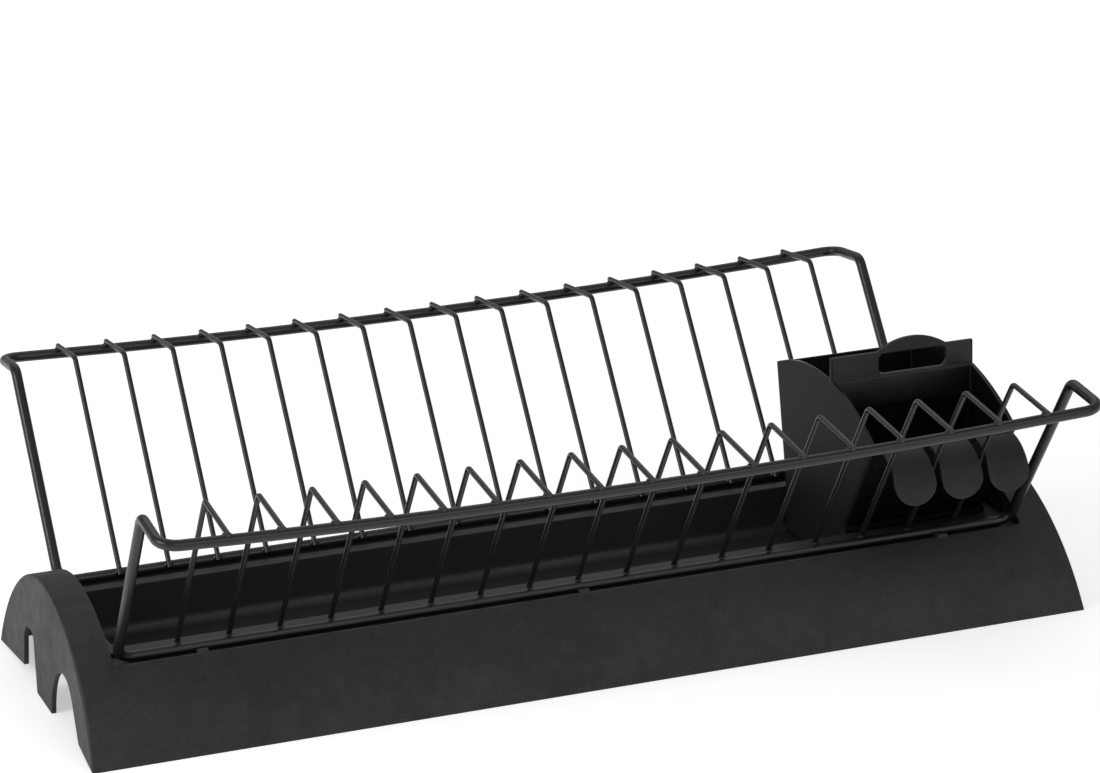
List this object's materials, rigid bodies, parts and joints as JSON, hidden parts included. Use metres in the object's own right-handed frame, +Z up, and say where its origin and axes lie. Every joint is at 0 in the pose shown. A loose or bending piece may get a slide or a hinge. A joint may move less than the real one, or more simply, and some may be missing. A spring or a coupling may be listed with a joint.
{
  "type": "dish drainer",
  "caption": "Countertop dish drainer: arched moulded base with a lift-out drip tray, two outward-leaning wire racks and a hook-on cutlery holder.",
  "frame": {"origin": "on the surface it stands on, under the middle of the base shell", "axes": "+X along the drainer with the cutlery holder at the +X end, -Y the front, +Z up"},
  "size_m": [0.5066, 0.315, 0.1334],
  "materials": {
    "moulded_shell": "injection-moulded polypropylene, fine satin texture, black",
    "moulded_tray": "injection-moulded polypropylene, smooth satin, black",
    "moulded_holder": "injection-moulded polypropylene, satin, black",
    "coated_wire": "steel wire with a smooth black powder coat"
  },
  "bodies": {
    "base": {"base_shell": "moulded_shell"},
    "tray": {"drip_tray": "moulded_tray"},
    "holder": {"cutlery_holder": "moulded_holder", "tongue_1": "moulded_holder", "tongue_2": "moulded_holder", "tongue_3": "moulded_holder"},
    "front_rack": {"front_rack_frame": "coated_wire", "front_wire_01": "coated_wire", "front_wire_02": "coated_wire", "front_wire_03": "coated_wire", "front_wire_04": "coated_wire", "front_wire_05": "coated_wire", "front_wire_06": "coated_wire", "front_wire_07": "coated_wire", "front_wire_08": "coated_wire", "front_wire_09": "coated_wire", "front_wire_10": "coated_wire", "front_wire_11": "coated_wire", "front_wire_12": "coated_wire", "front_wire_13": "coated_wire", "front_wire_14": "coated_wire", "front_wire_15": "coated_wire", "front_wire_16": "coated_wire", "front_wire_17": "coated_wire"},
    "back_rack": {"back_rack_frame": "coated_wire", "back_wire_01": "coated_wire", "back_wire_02": "coated_wire", "back_wire_03": "coated_wire", "back_wire_04": "coated_wire", "back_wire_05": "coated_wire", "back_wire_06": "coated_wire", "back_wire_07": "coated_wire", "back_wire_08": "coated_wire", "back_wire_09": "coated_wire", "back_wire_10": "coated_wire", "back_wire_11": "coated_wire", "back_wire_12": "coated_wire", "back_wire_13": "coated_wire", "back_wire_14": "coated_wire", "back_wire_15": "coated_wire", "back_wire_16": "coated_wire", "back_wire_17": "coated_wire"}
  },
  "joints": [
    {"name": "drip_tray_lift", "type": "slide", "parent": "base", "child": "tray", "axis": [0, 0, 1], "range_m": [0, 0.05]},
    {"name": "cutlery_holder_lift", "type": "slide", "parent": "tray", "child": "holder", "axis": [0, 0, 1], "range_m": [0, 0.12]},
    {"name": "front_rack_pull", "type": "slide", "parent": "base", "child": "front_rack", "axis": [0, -0.592, 0.8059], "range_m": [0, 0.03]},
    {"name": "back_rack_pull", "type": "slide", "parent": "base", "child": "back_rack", "axis": [0, 0.592, 0.8059], "range_m": [0, 0.03]}
  ]
}
